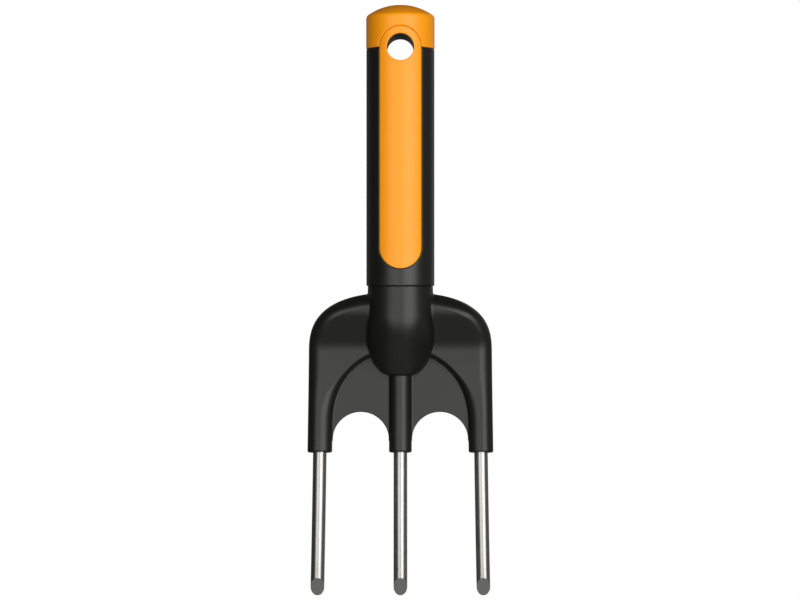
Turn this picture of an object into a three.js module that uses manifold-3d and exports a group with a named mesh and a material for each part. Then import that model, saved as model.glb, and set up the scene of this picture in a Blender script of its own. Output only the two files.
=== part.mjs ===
// A three-tined hand fork with a moulded handle and a hang hole.
//
// Units are millimetres. +Z runs up the handle, the front faces -Y and the origin is the centre of
// the hang hole, on the handle's axis. The tines point down and curve forward.

import * as THREE from 'three';
import { LoftGeometry } from 'three/addons/geometries/LoftGeometry.js';
import { mergeVertices } from 'three/addons/utils/BufferGeometryUtils.js';
import Module from 'manifold-3d';

const wasm = await Module();
wasm.setup();

// ---- Driving dimensions ----

const GAP = 0.3; // running clearance between pieces that touch
const SEAM = 0.2; // narrow seam round a let-in piece

const HOLE_RADIUS = 6.65;
const SLEEVE_RADIUS = 17;
const CORE_RADIUS = 14.6;
const SLEEVE_TOP = -0.05;
const SLEEVE_BOTTOM = -118.2;

const CAP_RADIUS = 17.1;
const CAP_BOTTOM = 0.25;
const CAP_EDGE = 15.8; // where the rounding into the dome starts
const CAP_ROUNDING = 0.9;
const CAP_TOP = 22.25;
const DOME_RADIUS = 28;
const CAP_WALL = 2;

const INLAY_RADIUS = 10.5; // half the width of the inlay, and the radius of its round ends
const INLAY_BOTTOM_CENTRE = -99.1;
const SLOT_BACK = -6; // the inlay's slot is cut from the front to this depth

const CORE_TOP = 13.6;
const CORE_BORE_RADIUS = 9.6;
const CORE_BORE_TOP = -18;

const NECK_TOP = -118.6;
const NECK_RADIUS = 16.3;
const SPIGOT_TOP = -72;
const SPIGOT_RIBS = 4;
const RIB_DEPTH = 1.2;
const RIB_OUTER = 3; // half the height of a groove between ribs, at its mouth and at its root
const RIB_INNER = 2;
const SPIGOT_ROOT = 5; // how far the spigot reaches into the neck
const SPIGOT_LEAD = 3; // lead-in at its top
const NOSE_RADIUS = 17; // the round end of the neck, seen from the front
const NOSE_CENTRE = -147.6;
const NOSE_END = -162.7;
const NOSE_BEND = -141.5; // where its front turns from upright to sloping back
const NOSE_CROWN = 10; // radius of the sloping front along its middle
const NOSE_SLOPE = THREE.MathUtils.degToRad(38.5);
const NAPE_TOP = -124; // between these heights its back comes forward to the centre boss
const NAPE_BOTTOM = -158;

const TILT = THREE.MathUtils.degToRad(7); // forward lean of the plane that holds the bosses
const SPLAY = THREE.MathUtils.degToRad(0.65); // outward lean of each outer tine
const TIP_ANGLE = THREE.MathUtils.degToRad(19.5); // forward lean of a tine at its tip
const BEVEL_ANGLE = THREE.MathUtils.degToRad(44); // between a tine's axis and its cut end

const BOSS_END = -201.55;
const BOSS_END_DEPTH = 3.63; // the bosses end a little behind the handle's axis
const BOSS_RADIUS = 6.2;
const CENTRE_BOSS_RADIUS = 5.7;
const BOSS_SPACING = 40.4; // from the centre boss to an outer boss, at their ends
const SHOULDER_HALF_DEPTH = 6.05;
const SHOULDER_SWELL = 3; // extra thickness of the shoulders, reached between these two heights
const SWELL_BOTTOM = -150;
const SWELL_TOP = -136;
const SHOULDER_TOP_DEPTH = -0.8; // depth of the shoulders beside the neck, without the swell
const STEP_BOTTOM = -147.5; // where the step back ends
const LEAN_START = -163; // where the shoulders start to lean forward with the bosses
const STEP_SLOPE = THREE.MathUtils.degToRad(28);
const STEP_BEND = 7; // height over which the shoulder's front bends into and out of the step
const LEAN_BEND = 12;
const LOWER_SLOPE = THREE.MathUtils.degToRad(3); // of the front between the step and the lean
const CORNER_BOTTOM = -151; // where the outer edge of a shoulder has turned straight down
const CROTCH_BOTTOM = -187; // and where the inner edge has

const WEB_HALF_DEPTH = 1.5;
const WEB_TOP = -150;
const WEB_TOP_WIDTH = 44;
const WEB_SHOULDER = -168; // where its sides turn upright
const ARCH_RADIUS = 14.15;
const ARCH_CENTRE_X = 19.85;
const ARCH_CENTRE_Z = -195.5;

const TINE_RADIUS = 3.4;
const TINE_TIP = -271.3;
const SOCKET_DEPTH = 38;
const CENTRE_SOCKET_DEPTH = 50;
const GROOVE_DEPTH = 0.6;
const GROOVE_WIDTH = 3;
const GROOVE_PLACES = [7, 15]; // from the buried end

const OUTSIDE = 20; // depth beyond the handle's surface, for cutters
const ROUND_SIDES = 40;
const ROD_SIDES = 16;

// ---- Colours ----

const ORANGE = { color: 0xffa520, roughness: 0.42, metalness: 0 };
const SOFT_BLACK = { color: 0x2b2b29, roughness: 0.6, metalness: 0 };
const HARD_BLACK = { color: 0x242423, roughness: 0.45, metalness: 0 };
const STEEL = { color: 0xd4d3cb, roughness: 0.22, metalness: 1 };

// ---- Helpers ----

// Turns a closed geometry into a solid that can be cut and joined.
function solid(geometry) {
  const bare = new THREE.BufferGeometry();
  bare.setAttribute('position', geometry.getAttribute('position'));
  bare.setIndex(geometry.index);
  const merged = mergeVertices(bare, 1e-4);
  const vertProperties = merged.attributes.position.array;
  const triVerts = new Uint32Array(merged.index.array);
  return new wasm.Manifold(new wasm.Mesh({ numProp: 3, vertProperties, triVerts }));
}

function geometryOf(manifold) {
  const { vertProperties, triVerts } = manifold.getMesh();
  const geometry = new THREE.BufferGeometry();
  geometry.setAttribute('position', new THREE.BufferAttribute(vertProperties, 3));
  geometry.setIndex(new THREE.BufferAttribute(triVerts, 1));
  return geometry.toNonIndexed();
}

function piece(name, manifold, finish) {
  const geometry = geometryOf(manifold);
  geometry.computeVertexNormals();
  const mesh = new THREE.Mesh(geometry, new THREE.MeshStandardMaterial(finish));
  mesh.name = name;
  return mesh;
}

// A solid of revolution about Z, from [radius, z] points listed from the bottom up.
function turned(points, sides = ROUND_SIDES) {
  const profile = points.map(([radius, z]) => new THREE.Vector2(radius, z));
  const lathe = new THREE.LatheGeometry(profile, sides);
  return solid(lathe.rotateX(Math.PI / 2));
}

function cylinder(radius, bottom, top, sides = ROUND_SIDES) {
  return turned([[0, bottom], [radius, bottom], [radius, top], [0, top]], sides);
}

// An outline in X and Z, extruded along Y between two depths.
function plate(outline, front, back) {
  const depth = back - front;
  const geometry = new THREE.ExtrudeGeometry(outline, { depth, bevelEnabled: false, curveSegments: 16 });
  return solid(geometry.rotateX(Math.PI / 2).translate(0, back, 0));
}

// An upright slot outline with round ends, from the hang hole down the handle.
function inlayOutline(radius) {
  return new THREE.Shape()
    .absarc(0, 0, radius, 0, Math.PI)
    .absarc(0, INLAY_BOTTOM_CENTRE, radius, Math.PI, 2 * Math.PI)
    .closePath();
}

function hangHole() {
  const circle = new THREE.Shape().absarc(0, 0, HOLE_RADIUS, 0, 2 * Math.PI);
  return plate(circle, -OUTSIDE, OUTSIDE);
}

function frontSlot() {
  return plate(inlayOutline(INLAY_RADIUS + SEAM), -OUTSIDE, SLOT_BACK);
}

// ---- Handle ----

// The outer curve of the domed end, as [radius, z] points from its edge to its middle.
function dome(radius, edge, top, sphere, steps = 4) {
  const centre = top - sphere;
  const rim = radius - CAP_ROUNDING;
  const reach = Math.asin(rim / sphere);
  const points = [[radius, edge]];
  for (let i = 0; i <= steps; i++) {
    const angle = reach * (1 - i / steps);
    points.push([sphere * Math.sin(angle), centre + sphere * Math.cos(angle)]);
  }
  return points;
}

function endCap() {
  const pocket = CORE_RADIUS + GAP;
  const body = turned([[0, CAP_BOTTOM], [CAP_RADIUS, CAP_BOTTOM],
    ...dome(CAP_RADIUS, CAP_EDGE, CAP_TOP, DOME_RADIUS)]);
  const inside = turned([[0, -1], [pocket, -1],
    ...dome(pocket, CORE_TOP - 1 + GAP, CAP_TOP - 2 * CAP_WALL + GAP, DOME_RADIUS)]);
  return body.subtract(inside).subtract(hangHole()).subtract(frontSlot());
}

function handleCore() {
  const body = turned([[0, SLEEVE_BOTTOM], [CORE_RADIUS, SLEEVE_BOTTOM],
    ...dome(CORE_RADIUS, CORE_TOP - 1, CAP_TOP - 2 * CAP_WALL, DOME_RADIUS)]);
  const bore = cylinder(CORE_BORE_RADIUS, SLEEVE_BOTTOM - 1, CORE_BORE_TOP);
  return body.subtract(bore).subtract(hangHole());
}

function gripSleeve() {
  const outside = cylinder(SLEEVE_RADIUS, SLEEVE_BOTTOM, SLEEVE_TOP);
  const inside = cylinder(CORE_RADIUS + GAP, SLEEVE_BOTTOM - 1, SLEEVE_TOP + 1);
  return outside.subtract(inside).subtract(hangHole()).subtract(frontSlot());
}

function frontInlay() {
  const bottom = INLAY_BOTTOM_CENTRE - 2 * INLAY_RADIUS;
  const outside = cylinder(SLEEVE_RADIUS, bottom, 2 * INLAY_RADIUS);
  const inside = cylinder(CORE_RADIUS + GAP, bottom - 1, 2 * INLAY_RADIUS + 1);
  const outline = plate(inlayOutline(INLAY_RADIUS), -OUTSIDE, SLOT_BACK);
  return outside.subtract(inside).intersect(outline).subtract(hangHole());
}

// ---- Head ----

// Depth of the plane that the bosses and tines start in.
function bossDepth(z) {
  return BOSS_END_DEPTH + (z - BOSS_END) * Math.tan(TILT);
}

// A line that stays at 0, bends over a given width round 0 and then rises one for one.
function softRamp(run, width) {
  if (run < -width / 2) return 0;
  if (run > width / 2) return run;
  return (run + width / 2) ** 2 / (2 * width);
}

// Distance of an outer boss's axis from the middle.
function bossOffset(z) {
  return BOSS_SPACING + (BOSS_END - z) * Math.tan(SPLAY);
}

// Mid depth of the shoulders: they start forward beside the neck and step back to the bosses.
function shoulderDepth(z) {
  const slope = Math.tan(STEP_SLOPE);
  const lower = Math.tan(LOWER_SLOPE);
  const stepEnd = bossDepth(LEAN_START) - lower * (STEP_BOTTOM - LEAN_START);
  const stepTop = STEP_BOTTOM + (stepEnd - SHOULDER_TOP_DEPTH) / slope;
  return SHOULDER_TOP_DEPTH + slope * softRamp(stepTop - z, STEP_BEND)
    - (slope - lower) * softRamp(STEP_BOTTOM - z, STEP_BEND)
    - (lower + Math.tan(TILT)) * softRamp(LEAN_START - z, LEAN_BEND);
}

// The nose's crowned front, which slopes back to the centre boss.
function noseFront(x, z) {
  const crown = x ** 2 / (2 * NOSE_CROWN + x ** 2 / (2 * NOSE_RADIUS));
  return -NECK_RADIUS + (NOSE_BEND - z) * Math.tan(NOSE_SLOPE) + crown;
}

function noseBack(z) {
  const step = THREE.MathUtils.smoothstep(-z, -NAPE_TOP, -NAPE_BOTTOM);
  return THREE.MathUtils.lerp(NECK_RADIUS, bossDepth(z) + CENTRE_BOSS_RADIUS, step);
}

function noseHalfWidth(z) {
  if (z < NOSE_CENTRE) return Math.sqrt(NOSE_RADIUS ** 2 - (NOSE_CENTRE - z) ** 2);
  const grow = THREE.MathUtils.smoothstep(-z, -NECK_TOP, -NOSE_CENTRE);
  return THREE.MathUtils.lerp(NECK_RADIUS, NOSE_RADIUS, grow);
}

function neckAndNose(steps = 15, sides = 28) {
  const sections = [];
  for (let i = 0; i <= steps; i++) {
    const z = THREE.MathUtils.lerp(NOSE_END, NECK_TOP, i / steps);
    const middle = (noseBack(z) - NECK_RADIUS) / 2;
    const halfWidth = noseHalfWidth(z);
    const edge = Math.max(middle, noseFront(halfWidth, z));
    const ring = [];
    for (let j = 0; j < sides; j++) {
      const angle = 2 * Math.PI * j / sides;
      const x = halfWidth * Math.cos(angle);
      const reach = Math.sin(angle);
      const front = Math.max(middle + (middle + NECK_RADIUS) * reach, noseFront(x, z));
      ring.push(new THREE.Vector3(x, reach < 0 ? front : edge + (noseBack(z) - edge) * reach, z));
    }
    sections.push(ring);
  }
  return solid(new LoftGeometry(sections, { capStart: true, capEnd: true }));
}

// The ribbed spigot that the handle core is pressed over.
function spigot() {
  const crest = CORE_BORE_RADIUS - GAP;
  const root = crest - RIB_DEPTH;
  const pitch = (SPIGOT_TOP - NECK_TOP) / (SPIGOT_RIBS + 1);
  const points = [[0, NECK_TOP - SPIGOT_ROOT], [crest, NECK_TOP - SPIGOT_ROOT]];
  for (let i = 1; i <= SPIGOT_RIBS; i++) {
    const z = NECK_TOP + i * pitch;
    points.push([crest, z - RIB_OUTER], [root, z - RIB_INNER]);
    points.push([root, z + RIB_INNER], [crest, z + RIB_OUTER]);
  }
  points.push([crest, SPIGOT_TOP - SPIGOT_LEAD], [root, SPIGOT_TOP], [0, SPIGOT_TOP]);
  return turned(points, 32);
}

// One closed ring across a shoulder, from its outer edge to its inner edge.
// Sharpness 2 is round and higher values are flatter with rounded edges.
function shoulderRing(outer, inner, sharpness, steps = 10) {
  const front = [];
  const back = [];
  for (let j = 0; j <= steps; j++) {
    const across = -Math.cos(Math.PI * j / steps);
    const swell = (1 - Math.abs(across) ** sharpness) ** (1 / sharpness);
    const offset = SHOULDER_HALF_DEPTH * swell;
    const flat = outer.clone().lerp(inner, (across + 1) / 2);
    const extra = SHOULDER_SWELL * THREE.MathUtils.smoothstep(flat.y, SWELL_BOTTOM, SWELL_TOP);
    const depth = shoulderDepth(flat.y) + extra;
    const rise = offset * Math.sin(TILT);
    const reach = offset * Math.cos(TILT);
    front.push(new THREE.Vector3(flat.x, depth - reach - extra * swell, flat.y + rise));
    if (j > 0 && j < steps) back.unshift(new THREE.Vector3(flat.x, depth + reach, flat.y - rise));
  }
  return [...front, ...back];
}

// A shoulder starts at the middle, inside the neck, sweeps out of it, round its corner and down into
// the outer boss.
function shoulder(side, steps = 26) {
  const outerEdge = new THREE.Path()
    .moveTo(-0.5, -121)
    .lineTo(NECK_RADIUS, -121.8)
    .bezierCurveTo(32.2, -124.7, 46, -129.4, bossOffset(CORNER_BOTTOM) + BOSS_RADIUS, CORNER_BOTTOM)
    .lineTo(bossOffset(BOSS_END) + BOSS_RADIUS, BOSS_END);
  const innerEdge = new THREE.Path()
    .moveTo(-0.5, -151)
    .lineTo(14.8, -153)
    .bezierCurveTo(25, -158, 33.4, -169, bossOffset(CROTCH_BOTTOM) - BOSS_RADIUS, CROTCH_BOTTOM)
    .lineTo(bossOffset(BOSS_END) - BOSS_RADIUS, BOSS_END);
  const sections = [];
  for (let i = 0; i <= steps; i++) {
    const along = i / steps;
    const sharpness = THREE.MathUtils.lerp(4.5, 2, THREE.MathUtils.smoothstep(along, 0.1, 0.75));
    sections.push(shoulderRing(outerEdge.getPoint(along), innerEdge.getPoint(along), sharpness));
  }
  const right = solid(new LoftGeometry(sections, { capStart: true, capEnd: true }));
  return side > 0 ? right : right.mirror([1, 0, 0]);
}

// The thin web that ties the three bosses together, with an arch between each pair.
function web() {
  const edge = bossOffset(WEB_SHOULDER) - 2;
  const outline = new THREE.Shape()
    .moveTo(-edge, WEB_SHOULDER)
    .lineTo(-edge, ARCH_CENTRE_Z)
    .absarc(-ARCH_CENTRE_X, ARCH_CENTRE_Z, ARCH_RADIUS, Math.PI, 0, true)
    .absarc(ARCH_CENTRE_X, ARCH_CENTRE_Z, ARCH_RADIUS, Math.PI, 0, true)
    .lineTo(edge, ARCH_CENTRE_Z)
    .lineTo(edge, WEB_SHOULDER)
    .lineTo(WEB_TOP_WIDTH / 2, WEB_TOP)
    .lineTo(-WEB_TOP_WIDTH / 2, WEB_TOP)
    .closePath();
  const depth = 2 * WEB_HALF_DEPTH;
  const geometry = new THREE.ExtrudeGeometry(outline, { depth, bevelEnabled: false, curveSegments: 14 });
  geometry.rotateX(Math.PI / 2).translate(0, WEB_HALF_DEPTH, 0);
  const lean = new THREE.Matrix4().makeShear(0, 0, 0, 0, 0, Math.tan(TILT));
  const root = bossDepth(0);
  return solid(geometry.applyMatrix4(lean).translate(0, root, 0));
}

// ---- Tines ----

// The axis of a tine: straight inside its boss, then one steady bend forward to the tip.
function tinePath(side, socketDepth) {
  const down = new THREE.Vector3(side * Math.sin(SPLAY), -Math.sin(TILT), -Math.cos(TILT));
  const start = new THREE.Vector3(side * BOSS_SPACING, BOSS_END_DEPTH, BOSS_END);
  const drop = BOSS_END - TINE_TIP;
  const radius = drop / (Math.sin(TIP_ANGLE) - Math.sin(TILT));
  const points = [start.clone().addScaledVector(down, -socketDepth), start];
  const steps = 7;
  for (let i = 1; i <= steps; i++) {
    const angle = THREE.MathUtils.lerp(TILT, TIP_ANGLE, i / steps);
    const fall = radius * (Math.sin(angle) - Math.sin(TILT));
    const forward = radius * (Math.cos(TILT) - Math.cos(angle));
    const outward = side * (BOSS_SPACING + fall * Math.tan(SPLAY));
    points.push(new THREE.Vector3(outward, start.y - forward, BOSS_END - fall));
  }
  return points;
}

// A rod that follows a list of points, as rings lofted square to the line.
function rod(points, radius, sides = ROD_SIDES) {
  const sections = points.map((point, i) => {
    const before = points[Math.max(i - 1, 0)];
    const after = points[Math.min(i + 1, points.length - 1)];
    const along = after.clone().sub(before).normalize();
    const across = new THREE.Vector3(0, 1, 0).cross(along).normalize();
    const up = along.clone().cross(across);
    const ring = [];
    for (let j = 0; j < sides; j++) {
      const angle = 2 * Math.PI * j / sides;
      ring.push(point.clone()
        .addScaledVector(across, radius * Math.cos(angle))
        .addScaledVector(up, radius * Math.sin(angle)));
    }
    return ring;
  });
  return solid(new LoftGeometry(sections, { capStart: true, capEnd: true }));
}

// Cuts grooves into a rod near its buried end. The moulding fills them, so the tine can't pull out.
function grooved(shank, radius, width, [top, bossEnd]) {
  const down = bossEnd.clone().sub(top).normalize();
  let cut = shank;
  for (const distance of GROOVE_PLACES) {
    const reach = (length) => [-length / 2, length / 2].map(
      (half) => top.clone().addScaledVector(down, distance + half));
    const ring = rod(reach(width), radius + 2).subtract(rod(reach(width + 2), radius - GROOVE_DEPTH));
    cut = cut.subtract(ring);
  }
  return cut;
}

// The slanting cut that leaves a flat face on the front of a tip.
function tipCutter(tip) {
  const size = 30;
  const slant = BEVEL_ANGLE - TIP_ANGLE;
  const back = tip.clone().add(new THREE.Vector3(0, TINE_RADIUS * Math.cos(TIP_ANGLE), 0));
  const block = new THREE.BoxGeometry(size, size, size).translate(0, -size / 2, 0);
  block.rotateX(slant).translate(tip.x, back.y, TINE_TIP);
  return solid(block);
}

function tine(side, socketDepth) {
  const points = tinePath(side, socketDepth);
  const tip = points[points.length - 1];
  const end = tip.clone().sub(points[points.length - 2]).normalize();
  const longer = [...points.slice(0, -1), tip.clone().addScaledVector(end, 2)];
  return grooved(rod(longer, TINE_RADIUS), TINE_RADIUS, GROOVE_WIDTH, points).subtract(tipCutter(tip));
}

// The space that a tine's buried length fills, with the clearance round it.
function tineSocket(side, socketDepth) {
  const points = tinePath(side, socketDepth);
  const down = points[1].clone().sub(points[0]).normalize();
  const top = points[0].clone().addScaledVector(down, -GAP);
  const mouth = points[1].clone().addScaledVector(down, 2);
  const radius = TINE_RADIUS + GAP;
  return grooved(rod([top, mouth], radius), radius, GROOVE_WIDTH - 2 * GAP, points);
}

function centreBoss() {
  const down = new THREE.Vector3(0, -Math.sin(TILT), -Math.cos(TILT));
  const end = new THREE.Vector3(0, BOSS_END_DEPTH, BOSS_END);
  return rod([end.clone().addScaledVector(down, -52), end], CENTRE_BOSS_RADIUS, 20);
}

const TINES = [
  { name: 'tine_left', side: -1, socketDepth: SOCKET_DEPTH },
  { name: 'tine_centre', side: 0, socketDepth: CENTRE_SOCKET_DEPTH },
  { name: 'tine_right', side: 1, socketDepth: SOCKET_DEPTH },
];

function headMoulding() {
  let head = neckAndNose().add(spigot()).add(shoulder(-1)).add(shoulder(1)).add(web()).add(centreBoss());
  for (const { side, socketDepth } of TINES) {
    head = head.subtract(tineSocket(side, socketDepth));
  }
  return head;
}

// ---- Assembly ----

const handFork = new THREE.Group();
handFork.add(piece('end_cap', endCap(), ORANGE));
handFork.add(piece('front_inlay', frontInlay(), ORANGE));
handFork.add(piece('grip_sleeve', gripSleeve(), SOFT_BLACK));
handFork.add(piece('handle_core', handleCore(), HARD_BLACK));
handFork.add(piece('head_moulding', headMoulding(), HARD_BLACK));
for (const { name, side, socketDepth } of TINES) {
  handFork.add(piece(name, tine(side, socketDepth), STEEL));
}

export default handFork;
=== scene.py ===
# %% [markdown]
# # A three-tined hand fork
# The fork hangs in front of the camera as it would hang on a hook: a round handle with an orange cap
# and inlay, a black moulded head, and three bright steel tines. Everything is in metres around the
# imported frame, whose origin is the centre of the hang hole. Shapes are worked out in millimetres, as
# on a drawing, and turned into metres as each mesh is made.

import math

import bpy
import numpy as np
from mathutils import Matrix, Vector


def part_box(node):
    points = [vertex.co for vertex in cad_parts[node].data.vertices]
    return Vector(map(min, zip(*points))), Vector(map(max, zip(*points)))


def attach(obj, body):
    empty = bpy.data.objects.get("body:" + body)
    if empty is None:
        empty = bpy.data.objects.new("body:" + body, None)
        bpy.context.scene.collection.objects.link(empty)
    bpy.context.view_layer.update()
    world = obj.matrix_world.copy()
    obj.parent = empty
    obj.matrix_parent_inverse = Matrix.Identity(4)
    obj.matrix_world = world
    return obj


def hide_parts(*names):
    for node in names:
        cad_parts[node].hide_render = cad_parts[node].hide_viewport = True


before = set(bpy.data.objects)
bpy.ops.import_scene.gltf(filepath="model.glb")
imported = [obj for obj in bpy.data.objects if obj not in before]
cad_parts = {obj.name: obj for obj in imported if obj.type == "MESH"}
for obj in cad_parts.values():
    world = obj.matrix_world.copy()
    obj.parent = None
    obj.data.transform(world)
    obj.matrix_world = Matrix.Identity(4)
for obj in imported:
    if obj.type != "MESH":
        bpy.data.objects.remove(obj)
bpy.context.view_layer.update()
MM = 0.001
print("nodes:", sorted(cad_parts))

# %% [markdown]
# ## Camera
# A long lens from well back keeps the handle's sides parallel. The camera is level, 1.35 m in front of
# the handle's axis, at the height of the neck, and the whole fork just fills the frame.

# %% Camera
CAMERA_DISTANCE = 1.35
CAMERA_HEIGHT = -0.12515
camera_data = bpy.data.cameras.new("camera")
camera_data.sensor_width = 36
camera_data.lens = 121.5
camera = bpy.data.objects.new("camera", camera_data)
camera.location = (-0.0002, -CAMERA_DISTANCE, CAMERA_HEIGHT)
camera.rotation_euler = (math.radians(90), 0, 0)
bpy.context.collection.objects.link(camera)
bpy.context.scene.camera = camera
print("camera at", tuple(camera.location))

# %% [markdown]
# ## Shapes as distance fields
# A moulding has no hard line where one form meets the next: the tool maker runs a small radius along
# every join. Booleans on meshes leave a bare crease there, and a bevel on top of them often breaks.
# A distance field makes the radius part of the shape instead. A field is a function of a point that is
# negative inside the solid and positive outside, and about as large as the distance to its surface.
# Two fields join with a smooth minimum and cut with a rounded maximum.

# %% Joining and cutting fields
def smooth_union(a, b, radius):
    """The smaller of two fields, with a fillet of about the radius where they meet."""
    mix = np.clip(0.5 + 0.5 * (b - a) / radius, 0, 1)
    return b * (1 - mix) + a * mix - radius * mix * (1 - mix)


def round_cut(a, b, radius):
    """Where both fields are inside, with the outer edge rounded to the radius."""
    outside = np.hypot(np.maximum(a + radius, 0), np.maximum(b + radius, 0))
    return outside + np.minimum(np.maximum(a, b) + radius, 0) - radius


def smoothstep(value, start, end):
    t = np.clip((value - start) / (end - start), 0, 1)
    return t * t * (3 - 2 * t)


def blend(a, b, t):
    return a + (b - a) * t


# %% [markdown]
# A field becomes a mesh with surface nets. Space is divided into small cells. A cell that the surface
# passes through gets one vertex at the mean of its crossings, and every crossed grid edge joins the
# four cells around it with a quad. Each vertex then slides onto the true surface along the field's
# gradient, which also gives it an exact normal, so a large rounded face shades without a ripple.

# %% From a field to a mesh
def gradient(field, points, reach=0.04):
    """Direction in which the field grows, by central differences."""
    parts = []
    for axis in range(3):
        step = np.zeros(3)
        step[axis] = reach
        parts.append((field(*(points + step).T) - field(*(points - step).T)) / (2 * reach))
    return np.stack(parts, 1)


def settle(field, points, rounds):
    """Moves points onto the surface of a field."""
    for _ in range(rounds):
        slope = gradient(field, points)
        steep = np.maximum((slope ** 2).sum(1), 0.05)
        points = points - slope * np.clip(field(*points.T) / steep, -0.5, 0.5)[:, None]
    return points


def surface_net(field, low, high, cell):
    """Vertices and quads of the surface of a field inside a box."""
    axes = [np.arange(a, b + cell, cell) for a, b in zip(low, high)]
    values = field(*np.meshgrid(*axes, indexing="ij"))
    size = values.shape
    total = np.zeros((3,) + tuple(n - 1 for n in size))
    count = np.zeros(total.shape[1:])
    crossings = []
    for axis in range(3):
        near = np.moveaxis(values, axis, 0)[:-1]
        far = np.moveaxis(values, axis, 0)[1:]
        crossed = (near < 0) != (far < 0)
        place = np.where(crossed, near / np.where(crossed, near - far, 1), 0)
        crossings.append((crossed, near < 0))
        others = [a for a in range(3) if a != axis]
        for first in (0, 1):
            for second in (0, 1):
                span = (slice(None), slice(first, size[others[0]] - 1 + first),
                        slice(second, size[others[1]] - 1 + second))
                hit = crossed[span].astype(float)
                count += np.moveaxis(hit, 0, axis)
                total[axis] += np.moveaxis(hit * place[span], 0, axis)
                total[others[0]] += np.moveaxis(hit * first, 0, axis)
                total[others[1]] += np.moveaxis(hit * second, 0, axis)
    cells = np.argwhere(count > 0)
    index = np.full(count.shape, -1)
    index[tuple(cells.T)] = np.arange(len(cells))
    mean = total[(slice(None),) + tuple(cells.T)].T / count[tuple(cells.T)][:, None]
    points = np.array(low) + cell * (cells + mean)
    quads = []
    for axis, (crossed, inside) in enumerate(crossings):
        others = [a for a in range(3) if a != axis]
        where = np.argwhere(crossed[:, 1:-1, 1:-1]) + (0, 1, 1)
        flip = inside[tuple(where.T)]
        corners = []
        for first, second in ((1, 1), (0, 1), (0, 0), (1, 0)):
            cell_at = np.zeros_like(where)
            cell_at[:, axis] = where[:, 0]
            cell_at[:, others[0]] = where[:, 1] - first
            cell_at[:, others[1]] = where[:, 2] - second
            corners.append(index[tuple(cell_at.T)])
        faces = np.stack(corners, 1)
        turn = flip if axis != 1 else ~flip
        faces[~turn] = faces[~turn][:, ::-1]
        quads.append(faces)
    return points, np.concatenate(quads)


def relax(points, quads, amount=0.5):
    """Moves every vertex towards the mean of its neighbours, which evens out the quads."""
    total = np.zeros_like(points)
    count = np.zeros(len(points))
    for a, b in ((0, 1), (1, 2), (2, 3), (3, 0)):
        for start, end in ((a, b), (b, a)):
            np.add.at(total, quads[:, start], points[quads[:, end]])
            np.add.at(count, quads[:, start], 1)
    return blend(points, total / count[:, None], amount)


def make_piece(name, mesh):
    piece = bpy.data.objects.new(name, mesh)
    bpy.context.collection.objects.link(piece)
    return piece


def mould(name, field, low, high, cell):
    """A piece whose surface is a field's, given in millimetres and made in metres."""
    points, quads = surface_net(field, low, high, cell)
    points = settle(field, points, 2)
    points = settle(field, relax(points, quads), 3)
    slope = gradient(field, points)
    normals = slope / np.linalg.norm(slope, axis=1)[:, None]
    mesh = bpy.data.meshes.new(name)
    mesh.from_pydata((points * MM).tolist(), [], quads.tolist())
    mesh.shade_smooth()
    mesh.normals_split_custom_set_from_vertices(normals.tolist())
    print(f"{name}: {len(points)} vertices, {len(quads)} quads")
    return make_piece(name, mesh)


# %% [markdown]
# ## Handle
# The rigid core is a round moulding with a bore for the head's spigot. The soft sleeve is moulded over
# it, and leaves a long slot at the front, which the orange inlay fills. The cap closes the top. The
# hang hole goes through cap, core and inlay, and its edges are rounded because a hook rubs there.

# %% Sizes of the handle
core_low, core_high = (np.array(corner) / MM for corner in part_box("handle_core"))
sleeve_low, sleeve_high = (np.array(corner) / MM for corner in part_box("grip_sleeve"))
cap_low, cap_high = (np.array(corner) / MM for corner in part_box("end_cap"))
inlay_low, inlay_high = (np.array(corner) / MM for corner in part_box("front_inlay"))
CORE_RADIUS = core_high[0]
SLEEVE_RADIUS = sleeve_high[0]
CAP_RADIUS = cap_high[0]
INLAY_RADIUS = inlay_high[0]
INLAY_END = inlay_low[2] + INLAY_RADIUS
HOLE_RADIUS = 6.65
DOME_RADIUS = 28
GAP = 0.3
SEAM = 0.06
OPEN = -5
print("sleeve radius", round(SLEEVE_RADIUS, 2), "inlay half width", round(INLAY_RADIUS, 2))


# %% [markdown]
# The cap, inlay, sleeve and core are cut by the same few shapes: the hang hole, the long front slot and
# the dome. The slot cuts only the front half, so behind the axis its field stays well below zero, which
# leaves the solid as it is.

# %% Fields that the handle's pieces share
def hole(x, z, radius):
    """Positive inside the hang hole."""
    return radius - np.hypot(x, z)


def slot(x, z, radius):
    """Negative inside the long slot with round ends."""
    along = np.clip(z, INLAY_END, 0)
    return np.hypot(x, z - along) - radius


def front_slot(x, y, z):
    """Positive inside the inlay's slot, in the front half only."""
    return np.where(y < 0, -slot(x, z, INLAY_RADIUS + SEAM), OPEN)


def dome(x, y, z, top):
    """Negative under the shallow dome whose middle is at the given height."""
    return np.sqrt(x ** 2 + y ** 2 + (z - top + DOME_RADIUS) ** 2) - DOME_RADIUS


# %% [markdown]
# Each piece gets its own field, and the last argument of a cut is the radius on that edge. The cap's
# hole is rounded more at the back, where the hook bears. The long straight pieces take larger cells
# than the cap, whose rim has the smallest radii.

# %% End cap
def cap_field(x, y, z):
    across = np.hypot(x, y)
    body = round_cut(across - CAP_RADIUS, dome(x, y, z, cap_high[2]), 0.9)
    body = round_cut(body, cap_low[2] - z, 0.35)
    inside = round_cut(across - CORE_RADIUS - GAP, dome(x, y, z, core_high[2] + GAP), 1)
    rim = np.where(y < 0, 0.2, 1.1)
    body = round_cut(body, front_slot(x, y, z), 0.6)
    body = round_cut(body, hole(x, z, HOLE_RADIUS), rim)
    return np.maximum(body, -inside)


end_cap = mould("cap_shell", cap_field, (-17.4, -17.4, 0), (17.4, 17.4, 23.2), 0.42)


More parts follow.
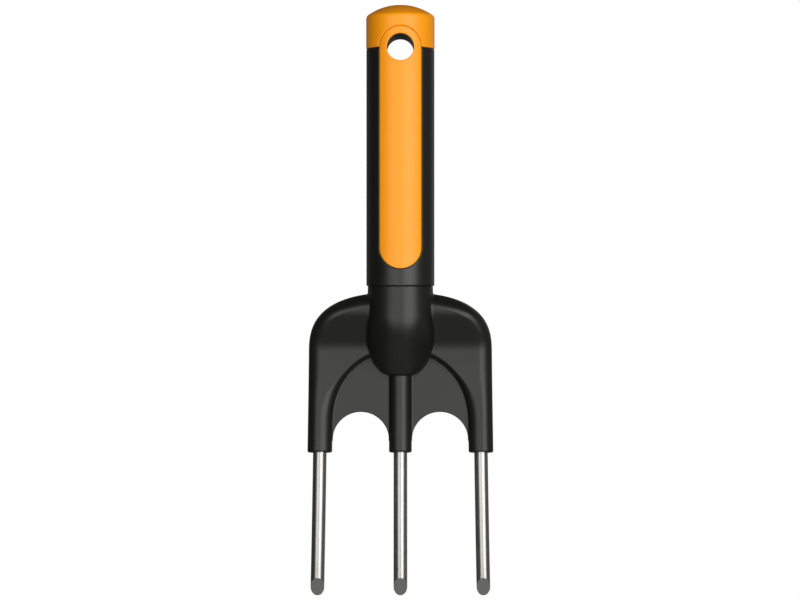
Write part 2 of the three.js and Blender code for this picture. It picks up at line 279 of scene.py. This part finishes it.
# %% Inlay
def inlay_field(x, y, z):
    across = np.hypot(x, y)
    strip = round_cut(across - SLEEVE_RADIUS, slot(x, z, INLAY_RADIUS), 0.6)
    strip = round_cut(strip, hole(x, z, HOLE_RADIUS), 0.6)
    strip = np.maximum(strip, CORE_RADIUS + GAP - across)
    return np.maximum(strip, y)


inlay = mould("inlay_strip", inlay_field, (-11, -17.4, inlay_low[2] - 0.6), (11, -9.8, 11), 0.42)


# %% Grip sleeve
def sleeve_field(x, y, z):
    across = np.hypot(x, y)
    tube = round_cut(across - SLEEVE_RADIUS, np.maximum(z - sleeve_high[2], sleeve_low[2] - z), 0.5)
    tube = round_cut(tube, front_slot(x, y, z), 0.4)
    tube = round_cut(tube, hole(x, z, HOLE_RADIUS), 0.8)
    return np.maximum(tube, CORE_RADIUS + GAP - across)


sleeve = mould("soft_sleeve", sleeve_field, (-17.4, -17.4, sleeve_low[2] - 0.6),
               (17.4, 17.4, sleeve_high[2] + 0.6), 0.62)

# %% Core
BORE_RADIUS = 9.6
BORE_TOP = -18
HOLE_EASE = 0.15


def core_field(x, y, z):
    across = np.hypot(x, y)
    body = round_cut(across - CORE_RADIUS, dome(x, y, z, core_high[2]), 1)
    body = round_cut(body, core_low[2] - z, 0.5)
    bore = np.maximum(across - BORE_RADIUS, z - BORE_TOP)
    body = np.maximum(body, -bore)
    return round_cut(body, hole(x, z, HOLE_RADIUS + HOLE_EASE), 0.3)


core = mould("inner_core", core_field, (-15.2, -15.2, core_low[2] - 1), (15.2, 15.2, core_high[2] + 1), 0.8)

# %% [markdown]
# ## Head
# The head is one glass-filled nylon moulding. The neck carries on from the handle and ends in a round
# nose. Two shoulders start beside it near the handle's front, step back to the plane of the tines and
# turn down into the outer bosses. A thin web with two arches ties the bosses together.

# %% Sizes of the head
head_low, head_high = (np.array(corner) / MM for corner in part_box("head_moulding"))
print("head from", head_low.round(2), "to", head_high.round(2))
TILT = math.radians(7)
SPLAY = math.radians(0.65)
NECK_TOP = -118.25
NECK_RADIUS = 16.3
BOSS_END = -201.55
BOSS_END_DEPTH = 3.63
BOSS_RADIUS = 6.2
CENTRE_BOSS_RADIUS = 5.7
BOSS_SPACING = 40.4
TINE_RADIUS = 3.4


def boss_depth(z):
    """Depth of the plane that the bosses, the web and the tines lie in."""
    return BOSS_END_DEPTH + (z - BOSS_END) * math.tan(TILT)


def boss_offset(z):
    """Distance of an outer boss's axis from the middle."""
    return BOSS_SPACING + (BOSS_END - z) * math.tan(SPLAY)


# %% [markdown]
# The neck is round at the top. Towards the nose its back comes forward to the centre boss, its sides
# widen a little and then close in a half circle, and a crowned front slopes back. Each cross section
# is half an ellipse in front of its widest line and half of another behind it.

# %% Neck and nose
NOSE_RADIUS = 17
NOSE_CENTRE = -147.6
NOSE_END = -162.7
NOSE_BEND = -141.5
NOSE_SLOPE = math.radians(38.5)
NOSE_CROWN = 10
NOSE_ROUNDING = 4.5
NAPE_TOP = -124
NAPE_BOTTOM = -158


def soft_ramp(run, width):
    """Stays at 0, bends over the given width round 0, and then rises one for one."""
    bent = (run + width / 2) ** 2 / (2 * width)
    return np.where(run < -width / 2, 0, np.where(run > width / 2, run, bent))


def nose_back(z):
    return blend(NECK_RADIUS, boss_depth(z) + CENTRE_BOSS_RADIUS, smoothstep(-z, -NAPE_TOP, -NAPE_BOTTOM))


def nose_half_width(z):
    drop = np.clip(NOSE_CENTRE - z, 0, NOSE_RADIUS - 0.5)
    grown = blend(NECK_RADIUS, NOSE_RADIUS, smoothstep(-z, -NECK_TOP, -NOSE_CENTRE))
    return np.where(z < NOSE_CENTRE, np.sqrt(NOSE_RADIUS ** 2 - drop ** 2), grown)


def nose_front(x, z):
    crown = x ** 2 / (2 * NOSE_CROWN + x ** 2 / (2 * NOSE_RADIUS))
    return -NECK_RADIUS + (NOSE_BEND - z) * math.tan(NOSE_SLOPE) + crown


def neck_field(x, y, z):
    back = nose_back(z)
    wide = nose_half_width(z)
    middle = (back - NECK_RADIUS) / 2
    edge = np.maximum(middle, nose_front(wide, z))
    deep = np.where(y < edge, middle + NECK_RADIUS, back - edge)
    out = (np.minimum(y - middle, 0) + np.maximum(y - edge, 0)) / deep
    reach = np.hypot(x / wide, out)
    steep = np.hypot(x / wide ** 2, out / deep) / np.maximum(reach, 1e-6)
    side = (reach - 1) / np.maximum(steep, 0.03)
    nose = round_cut(side, (nose_front(x, z) - y) * math.cos(NOSE_SLOPE), NOSE_ROUNDING)
    return round_cut(round_cut(nose, NOSE_END - z, 0.8), z - NECK_TOP, 0.3)


# %% [markdown]
# The shoulders' outer and inner edges are both quarter superellipses that run straight on down the
# outer bosses. Across the band, a pair of factors rounds the edges: each falls from 1 to 0 over the
# width of its rounding, as a circle does. The edge radii grow into the boss's own radius lower down,
# where the band turns into a plain round boss.

# %% Shoulders
def quarter(x, z, half_width, foot, height, power):
    """Field of a superellipse that stands on a foot line and runs straight down below it."""
    up = np.maximum(z - foot, 0)
    value = (x / half_width) ** power + (up / height) ** power
    slope_x = power * (x / half_width) ** (power - 1) / half_width
    slope_z = power * (up / height) ** (power - 1) / height
    return (value - 1) / np.maximum(np.hypot(slope_x, slope_z), 0.02)


def edge_factor(depth, width):
    """0 on an edge, 1 once a full rounding's width inside it, and negative outside."""
    t = np.minimum(depth / width, 1)
    return 1 - (1 - t) ** 2


OUTER_EDGE = {"foot": -151, "height": 29.6, "power": 2.62}
INNER_EDGE = {"foot": -187, "height": 36, "power": 2.2}
OUTER_ROUNDING = 8
INNER_ROUNDING = 2.2
ROUND_TOP = -158
ROUND_BOTTOM = -178
SHOULDER_HALF_DEPTH = 6.05
SHOULDER_TOP_DEPTH = -0.8
SHOULDER_SWELL = 3
SWELL_BOTTOM = -150
SWELL_TOP = -136
STEP_BOTTOM = -147.5
STEP_SLOPE = math.tan(math.radians(28))
STEP_BEND = 7
LEAN_START = -163
LEAN_BEND = 12
LOWER_SLOPE = math.tan(math.radians(3))
LOWER_DEPTH = boss_depth(LEAN_START) - LOWER_SLOPE * (STEP_BOTTOM - LEAN_START)
STEP_TOP = STEP_BOTTOM + (LOWER_DEPTH - SHOULDER_TOP_DEPTH) / STEP_SLOPE
print("shoulders step back to a depth of", round(LOWER_DEPTH, 2))


def shoulder_depth(z):
    """Mid depth of the shoulders, which step back and then lean forward with the bosses."""
    into = STEP_SLOPE * soft_ramp(STEP_TOP - z, STEP_BEND)
    out = (STEP_SLOPE - LOWER_SLOPE) * soft_ramp(STEP_BOTTOM - z, STEP_BEND)
    lean = (LOWER_SLOPE + math.tan(TILT)) * soft_ramp(LEAN_START - z, LEAN_BEND)
    return SHOULDER_TOP_DEPTH + (into - out) - lean


def shoulder_field(x, y, z):
    x = np.abs(x)
    outer = -quarter(x, z, boss_offset(z) + BOSS_RADIUS, **OUTER_EDGE)
    inner = quarter(x, z, boss_offset(z) - BOSS_RADIUS, **INNER_EDGE)
    round_off = smoothstep(-z, -ROUND_TOP, -ROUND_BOTTOM)
    outer_factor = edge_factor(outer, blend(OUTER_ROUNDING, BOSS_RADIUS, round_off))
    inner_factor = edge_factor(inner, blend(INNER_ROUNDING, BOSS_RADIUS, round_off))
    both = np.where((outer_factor > 0) & (inner_factor > 0), outer_factor * inner_factor,
                    np.minimum(outer_factor, inner_factor))
    swell = SHOULDER_SWELL * smoothstep(z, SWELL_BOTTOM, SWELL_TOP)
    offset = y - shoulder_depth(z) - swell
    half_depth = SHOULDER_HALF_DEPTH + np.where(offset < 0, swell, 0)
    offset = offset / half_depth
    value = offset ** 2 - both
    steep = np.sqrt(4 * offset ** 2 + 4 * np.clip(1 - both, 0, 1)) / half_depth
    return value / np.maximum(steep, 0.12)


# %% [markdown]
# The web is a flat plate that leans with the bosses. It reaches up behind the shoulders and the nose,
# so their edges hide its own. The last cuts square off the ends of the bosses and open the sockets
# that the tines come out of.

# %% Web, centre boss and the whole head
WEB_HALF_DEPTH = 1.5
WEB_HALF_WIDTH = 40
WEB_TOP = -148
ARCH_RADIUS = 14.15
ARCH_CENTRE = (19.85, -195.5)
CENTRE_BOSS_TOP = -150
SOCKET_EASE = 0.08
SOCKET_MOUTH = 12


def web_field(x, y, z):
    x = np.abs(x)
    arch = ARCH_RADIUS - np.hypot(x - ARCH_CENTRE[0], z - ARCH_CENTRE[1])
    outline = np.maximum(np.maximum(arch, ARCH_CENTRE[1] - z), np.maximum(x - WEB_HALF_WIDTH, z - WEB_TOP))
    flat = np.abs(y - boss_depth(z)) * math.cos(TILT) - WEB_HALF_DEPTH
    return round_cut(flat, outline, 0.4)


def beyond_boss_end(y, z):
    return -(y - BOSS_END_DEPTH) * math.sin(TILT) - (z - BOSS_END) * math.cos(TILT)


def centre_boss_field(x, y, z):
    round_side = np.hypot(x, (y - boss_depth(z)) * math.cos(TILT)) - CENTRE_BOSS_RADIUS
    return np.maximum(round_side, z - CENTRE_BOSS_TOP)


def socket_field(x, y, z):
    """Positive inside the mouths of the three sockets."""
    side = np.hypot(np.abs(x) - boss_offset(z), (y - boss_depth(z)) * math.cos(TILT))
    middle = np.hypot(x, (y - boss_depth(z)) * math.cos(TILT))
    wall = TINE_RADIUS + SOCKET_EASE - np.minimum(side, middle)
    return np.minimum(wall, BOSS_END + SOCKET_MOUTH - z)


def head_field(x, y, z):
    body = smooth_union(neck_field(x, y, z), shoulder_field(x, y, z), 1.2)
    bosses = smooth_union(centre_boss_field(x, y, z), web_field(x, y, z), 0.7)
    body = smooth_union(body, bosses, 0.7)
    body = round_cut(body, beyond_boss_end(y, z), 0.8)
    return np.maximum(body, socket_field(x, y, z))


head = mould("fork_head", head_field, (-48, -18, -203.5), (48, 18, -117.5), 0.45)

# %% [markdown]
# The core is pressed over a ribbed spigot on top of the neck. It is hidden, so plain grooves with soft
# flanks are enough.

# %% Spigot
SPIGOT_TOP = head_high[2]
SPIGOT_ROOT = 3
RIB_START = 4
RIB_DEPTH = 1.2
RIB_PITCH = 9.32
RIB_FLANK = 0.3


def spigot_field(x, y, z):
    across = np.hypot(x, y)
    wave = np.cos((z - NECK_TOP) * 2 * math.pi / RIB_PITCH)
    groove = RIB_DEPTH * smoothstep(wave, -RIB_FLANK, RIB_FLANK)
    side = across - (BORE_RADIUS - GAP) + np.where(z > NECK_TOP + RIB_START, groove, 0)
    return round_cut(side, np.maximum(z - SPIGOT_TOP, NECK_TOP - SPIGOT_ROOT - z), 1)


spigot = mould("head_spigot", spigot_field, (-10, -10, NECK_TOP - 4), (10, 10, SPIGOT_TOP + 1), 0.7)

# %% [markdown]
# ## Tines
# The tines are drawn stainless rod, cut off at a slant and bent forward. Each one follows a path, so
# Geometry Nodes sweep a round section along it, and cut the end with a slanting block. The same tree
# makes all three, with its sizes as named inputs.

# %% The path of a tine
TINE_TIP = -271.3
TIP_ANGLE = math.radians(19.5)
BEVEL_ANGLE = math.radians(44)
BEND_RADIUS = (BOSS_END - TINE_TIP) / (math.sin(TIP_ANGLE) - math.sin(TILT))


def tine_path(side, bury, steps=48, past_tip=3):
    """Points from the buried end to just past the tip, in millimetres."""
    top_offset = side * (BOSS_SPACING - bury * math.sin(SPLAY))
    points = [(top_offset, BOSS_END_DEPTH + bury * math.sin(TILT), BOSS_END + bury * math.cos(TILT))]
    for i in range(steps + past_tip):
        angle = blend(TILT, TIP_ANGLE, i / steps)
        fall = BEND_RADIUS * (math.sin(angle) - math.sin(TILT))
        depth = BOSS_END_DEPTH - BEND_RADIUS * (math.cos(TILT) - math.cos(angle))
        points.append((side * (BOSS_SPACING + fall * math.tan(SPLAY)), depth, BOSS_END - fall))
    return points


# %% [markdown]
# Node trees grow long when every node and link is written out. A small class adds a node, sets it and
# feeds its sockets in one call. A second one stands for a number that varies over a surface, so sums
# and products of such numbers read as plain arithmetic.

# %% A small kit for node trees
class NodeTree:
    """Adds nodes to a tree: a type, its settings, then what its sockets get."""

    def __init__(self, tree):
        self.tree = tree

    def node(self, kind, settings=None, inputs=None):
        made = self.tree.nodes.new(kind)
        for name, value in (settings or {}).items():
            setattr(made, name, value)
        for name, value in (inputs or {}).items():
            self.feed(made.inputs[name], value)
        return made

    def feed(self, socket, value):
        if isinstance(value, Field):
            value = value.socket
        if isinstance(value, bpy.types.NodeSocket):
            self.tree.links.new(value, socket)
        else:
            socket.default_value = value


class Field:
    """A number that varies over a surface. Arithmetic on it adds Math nodes to its tree."""

    def __init__(self, kit, socket):
        self.kit = kit
        self.socket = socket

    def math(self, operation, *values):
        made = self.kit.node("ShaderNodeMath", {"operation": operation})
        for socket, value in zip(made.inputs, values):
            self.kit.feed(socket, value)
        return Field(self.kit, made.outputs[0])

    def __add__(self, other):
        return self.math("ADD", self, other)

    def __sub__(self, other):
        return self.math("SUBTRACT", self, other)

    def __rsub__(self, other):
        return self.math("SUBTRACT", other, self)

    def __mul__(self, other):
        return self.math("MULTIPLY", self, other)

    __radd__ = __add__
    __rmul__ = __mul__


# %% The tree that makes a tine
CUTTER_SIZE = 0.03


def tine_tree():
    tree = bpy.data.node_groups.new("slant cut rod", "GeometryNodeTree")
    kit = NodeTree(tree)
    inputs = {"Geometry": "Geometry", "Radius": "Float", "Sides": "Int", "Cut Place": "Vector",
              "Cut Slant": "Float", "Finish": "Material"}
    for name, kind in inputs.items():
        tree.interface.new_socket(name, in_out="INPUT", socket_type="NodeSocket" + kind)
    tree.interface.new_socket("Geometry", in_out="OUTPUT", socket_type="NodeSocketGeometry")
    given = kit.node("NodeGroupInput").outputs
    circle = kit.node("GeometryNodeCurvePrimitiveCircle", None,
                      {"Resolution": given["Sides"], "Radius": given["Radius"]})
    sweep = kit.node("GeometryNodeCurveToMesh", None,
                     {"Curve": given["Geometry"], "Profile Curve": circle.outputs["Curve"],
                      "Fill Caps": True})
    block = kit.node("GeometryNodeMeshCube", None, {"Size": (CUTTER_SIZE, CUTTER_SIZE, CUTTER_SIZE)})
    lowered = kit.node("GeometryNodeTransform", None,
                       {"Geometry": block.outputs["Mesh"], "Translation": (0, -CUTTER_SIZE / 2, 0)})
    turn = kit.node("ShaderNodeCombineXYZ", None, {"X": given["Cut Slant"]})
    cutter = kit.node("GeometryNodeTransform", None,
                      {"Geometry": lowered.outputs["Geometry"], "Translation": given["Cut Place"],
                       "Rotation": turn.outputs["Vector"]})
    cut = kit.node("GeometryNodeMeshBoolean", {"operation": "DIFFERENCE", "solver": "EXACT"},
                   {"Mesh 1": sweep.outputs["Mesh"]})
    kit.feed(cut.inputs["Mesh 2"], cutter.outputs["Geometry"])
    real = kit.node("GeometryNodeRealizeInstances", None, {"Geometry": cut.outputs["Mesh"]})
    finish = kit.node("GeometryNodeSetMaterial", None,
                      {"Geometry": real.outputs["Geometry"], "Material": given["Finish"]})
    kit.node("NodeGroupOutput", None, {"Geometry": finish.outputs["Geometry"]})
    return tree


def set_input(modifier, name, value):
    """Sets a tree's named input by its socket's identifier."""
    for item in modifier.node_group.interface.items_tree:
        if item.item_type == "SOCKET" and item.in_out == "INPUT" and item.name == name:
            modifier[item.identifier] = value


def bake_nodes(name, source):
    """The plain mesh that an object's modifiers give, as a new piece."""
    graph = bpy.context.evaluated_depsgraph_get()
    mesh = bpy.data.meshes.new_from_object(source.evaluated_get(graph))
    mesh.name = name
    bpy.data.objects.remove(source)
    return make_piece(name, mesh)


# %% [markdown]
# ## Finishes
# Four finishes cover the fork: satin orange plastic, soft black grip, black glass-filled nylon, and
# drawn stainless steel. Each starts from the colour and roughness that the whole surface shares, then
# adds what varies: a fine moulded grain, faint mottling, rubbed patches, or lines along the rod.

# %% Shader helpers
def new_finish(name):
    material = bpy.data.materials.new(name)
    material.use_nodes = True
    material.node_tree.nodes.clear()
    return material, NodeTree(material.node_tree)


def place(kit, scale):
    """Object coordinates stretched by a scale along each axis."""
    spot = kit.node("ShaderNodeTexCoord").outputs["Object"]
    return kit.node("ShaderNodeMapping", None, {"Vector": spot, "Scale": scale}).outputs["Vector"]


def noise(kit, scale, detail, stretch=(1, 1, 1)):
    made = kit.node("ShaderNodeTexNoise", None,
                    {"Vector": place(kit, stretch), "Scale": scale, "Detail": detail})
    return Field(kit, made.outputs["Fac"])


def ramp(kit, value, low, high):
    """A field clipped and stretched so that it runs from 0 to 1 between two values."""
    made = kit.node("ShaderNodeMapRange", {"clamp": True},
                    {"Value": value, "From Min": low, "From Max": high})
    return Field(kit, made.outputs["Result"])


MIX_A, MIX_B, MIX_RESULT = 6, 7, 2  # the colour sockets of a Mix node


def mix_colours(kit, factor, first, second):
    made = kit.node("ShaderNodeMix", {"data_type": "RGBA"})
    kit.feed(made.inputs["Factor"], factor)
    kit.feed(made.inputs[MIX_A], first)
    kit.feed(made.inputs[MIX_B], second)
    return made.outputs[MIX_RESULT]


def bump(kit, height, strength, distance):
    made = kit.node("ShaderNodeBump", None, {"Height": height, "Strength": strength, "Distance": distance})
    return made.outputs["Normal"]


def surface(kit, inputs):
    shader = kit.node("ShaderNodeBsdfPrincipled", None, inputs)
    kit.node("ShaderNodeOutputMaterial", None, {"Surface": shader.outputs["BSDF"]})


# %% [markdown]
# Noise scales count features per metre, so 2600 is a grain under half a millimetre across. Bump
# distances are in metres and stay under a tenth of a millimetre. The steel's noise is stretched fifty
# times along the tine, as drawing a rod through a die leaves it.

# %% Orange plastic
def orange_plastic():
    material, kit = new_finish("orange_plastic")
    cloud = noise(kit, 60, 3)
    grain = noise(kit, 2600, 2)
    rubbed = ramp(kit, noise(kit, 240, 4), 0.5, 0.75)
    surface(kit, {
        "Base Color": mix_colours(kit, cloud, (0.98, 0.338, 0.0, 1), (0.95, 0.323, 0.0, 1)),
        "Roughness": 0.40 + 0.06 * cloud - 0.05 * rubbed,
        "Normal": bump(kit, grain, 0.12, 0.00006),
        "IOR": 1.45,
    })
    return material


# %% Soft black grip
def soft_black_grip():
    material, kit = new_finish("soft_black_grip")
    cloud = noise(kit, 45, 3)
    grain = noise(kit, 3400, 3)
    rubbed = ramp(kit, noise(kit, 110, 4), 0.5, 0.8)
    surface(kit, {
        "Base Color": mix_colours(kit, cloud, (0.0048, 0.0050, 0.0038, 1), (0.0064, 0.0066, 0.0052, 1)),
        "Roughness": 0.36 + 0.06 * cloud - 0.06 * rubbed,
        "Normal": bump(kit, grain, 0.3, 0.00008),
        "IOR": 1.5,
    })
    return material


# %% Black nylon
def black_nylon():
    material, kit = new_finish("black_nylon")
    cloud = noise(kit, 38, 4)
    grain = noise(kit, 1900, 3)
    fibres = noise(kit, 700, 2, (1, 1, 0.25))
    surface(kit, {
        "Base Color": mix_colours(kit, cloud, (0.0046, 0.0048, 0.0037, 1), (0.0062, 0.0064, 0.0050, 1)),
        "Roughness": 0.37 + 0.06 * cloud,
        "Normal": bump(kit, 0.7 * grain + 0.3 * fibres, 0.25, 0.00008),
        "IOR": 1.475,
    })
    return material


# %% Stainless steel
def stainless_steel():
    material, kit = new_finish("stainless_steel")
    lines = noise(kit, 1500, 3, (1, 1, 0.02))
    cloud = noise(kit, 70, 3)
    surface(kit, {
        "Base Color": mix_colours(kit, cloud, (0.385, 0.38, 0.358, 1), (0.35, 0.345, 0.323, 1)),
        "Metallic": 1.0,
        "Roughness": 0.27 + 0.06 * lines,
        "Normal": bump(kit, lines, 0.15, 0.00004),
    })
    return material


FINISHES = {
    "orange_plastic": orange_plastic(),
    "soft_black_grip": soft_black_grip(),
    "black_nylon": black_nylon(),
    "stainless_steel": stainless_steel(),
}
print("finishes:", sorted(FINISHES))

# %% [markdown]
# With the finishes ready, one loop draws each tine's route, runs the tree on it and keeps the mesh. The
# two outer tines are buried less deep than the centre one.

# %% Make the three tines
TINE_SIDES = 64
TIP_DEPTH = BOSS_END_DEPTH - BEND_RADIUS * (math.cos(TILT) - math.cos(TIP_ANGLE))
CUT_DEPTH = TIP_DEPTH + TINE_RADIUS * math.cos(TIP_ANGLE)
rod_tree = tine_tree()
tines = {}
for tine_name, side, bury in (("tine_left", -1, 38), ("tine_centre", 0, 50), ("tine_right", 1, 38)):
    route = bpy.data.curves.new(tine_name + "_route", "CURVE")
    route.dimensions = "3D"
    spline = route.splines.new("POLY")
    points = tine_path(side, bury)
    spline.points.add(len(points) - 1)
    for point, place_mm in zip(spline.points, points):
        point.co = tuple(c * MM for c in place_mm) + (1,)
    source = make_piece(tine_name + "_route", route)
    modifier = source.modifiers.new("rod", "NODES")
    modifier.node_group = rod_tree
    tip_x = side * (BOSS_SPACING + (BOSS_END - TINE_TIP) * math.tan(SPLAY))
    set_input(modifier, "Radius", TINE_RADIUS * MM)
    set_input(modifier, "Sides", TINE_SIDES)
    set_input(modifier, "Cut Place", (tip_x * MM, CUT_DEPTH * MM, TINE_TIP * MM))
    set_input(modifier, "Cut Slant", BEVEL_ANGLE - TIP_ANGLE)
    set_input(modifier, "Finish", FINISHES["stainless_steel"])
    rod = bake_nodes("steel_" + tine_name, source)
    rod.data.shade_smooth()
    rod.data.set_sharp_from_angle(angle=math.radians(40))
    tines[tine_name] = rod
    print(tine_name, len(rod.data.vertices), "vertices")

# %% [markdown]
# ## Setting up the shot
# The fork floats on white. Two large soft boxes light it from the front, the right one brighter, with
# a narrow gap between them. Faces that tip far up or down see past the boxes and go dark. A card at the
# side and two behind draw the rims.

# %% World
scene = bpy.context.scene
scene.view_settings.view_transform = "Standard"
world = bpy.data.worlds.new("studio")
world.use_nodes = True
scene.world = world
world_kit = NodeTree(world.node_tree)
world.node_tree.nodes.clear()
seen = world_kit.node("ShaderNodeLightPath").outputs["Is Camera Ray"]
dim = world_kit.node("ShaderNodeBackground", None, {"Color": (1, 1, 1, 1), "Strength": 0.06})
white = world_kit.node("ShaderNodeBackground", None, {"Color": (1, 1, 1, 1), "Strength": 1.0})
both = world_kit.node("ShaderNodeMixShader", None, {"Fac": seen})
world_kit.feed(both.inputs[1], dim.outputs[0])
world_kit.feed(both.inputs[2], white.outputs[0])
world_kit.node("ShaderNodeOutputWorld", None, {"Surface": both.outputs[0]})

# %% [markdown]
# The background is pure white to the camera but dim to everything else, so the black mouldings keep
# their depth. An angle of 0 is in front, 90 to the right and 180 behind.

# %% Lights
def soft_box(name, azimuth, elevation, distance, width, height, power):
    """An area light that faces the fork's middle from a direction round the camera."""
    data = bpy.data.lights.new(name, "AREA")
    data.shape = "RECTANGLE"
    data.size = width
    data.size_y = height
    data.energy = power
    light = bpy.data.objects.new(name, data)
    turn, lift = math.radians(azimuth), math.radians(elevation)
    light.location = (distance * math.sin(turn) * math.cos(lift),
                      -distance * math.cos(turn) * math.cos(lift),
                      CAMERA_HEIGHT + distance * math.sin(lift))
    light.rotation_euler = (math.radians(90) - lift, 0, turn)
    bpy.context.collection.objects.link(light)
    print(name, "at", tuple(round(c, 2) for c in light.location))


soft_box("right_box", 31.5, 4, 2.2, 1.78, 2.4, 47)
soft_box("left_box", -21, 4, 2.2, 1.65, 2.4, 26)
soft_box("right_card", 100, 0, 1.6, 1.2, 2.0, 0.9)
soft_box("right_back_card", 148, 0, 1.8, 1.0, 2.6, 2.6)
soft_box("left_back_card", -150, 0, 1.8, 1.2, 2.6, 0.9)

# %% Floor
floor_mesh = bpy.data.meshes.new("floor")
FLOOR_TOP = -0.6
FLOOR_HALF = 0.35
floor_mesh.from_pydata([(-FLOOR_HALF, -FLOOR_HALF, FLOOR_TOP), (FLOOR_HALF, -FLOOR_HALF, FLOOR_TOP),
                        (FLOOR_HALF, FLOOR_HALF, FLOOR_TOP), (-FLOOR_HALF, FLOOR_HALF, FLOOR_TOP)],
                       [], [(0, 1, 2, 3)])
floor_finish, floor_kit = new_finish("pale_floor")
surface(floor_kit, {"Base Color": (0.85, 0.85, 0.84, 1), "Roughness": 0.8})
floor_mesh.materials.append(floor_finish)
floor = make_piece("floor", floor_mesh)
print("floor at", FLOOR_TOP)

# %% [markdown]
# ## Joining the pieces to the frame
# Each shaped piece stands for one node of the imported model, gets the finish listed with it,
# and rides on the one body, because nothing on the fork moves.

# %% Finishes, slots and bodies
PIECES = [
    (end_cap, "end_cap", "orange_plastic"),
    (inlay, "front_inlay", "orange_plastic"),
    (sleeve, "grip_sleeve", "soft_black_grip"),
    (core, "handle_core", "black_nylon"),
    (head, "head_moulding", "black_nylon"),
    (spigot, "head_moulding", "black_nylon"),
    (tines["tine_left"], "tine_left", "stainless_steel"),
    (tines["tine_centre"], "tine_centre", "stainless_steel"),
    (tines["tine_right"], "tine_right", "stainless_steel"),
]
for piece, node, finish in PIECES:
    piece.data.materials.clear()
    piece.data.materials.append(FINISHES[finish])
    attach(piece, "root")
    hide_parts(node)
print(len(PIECES), "pieces joined to the frame")
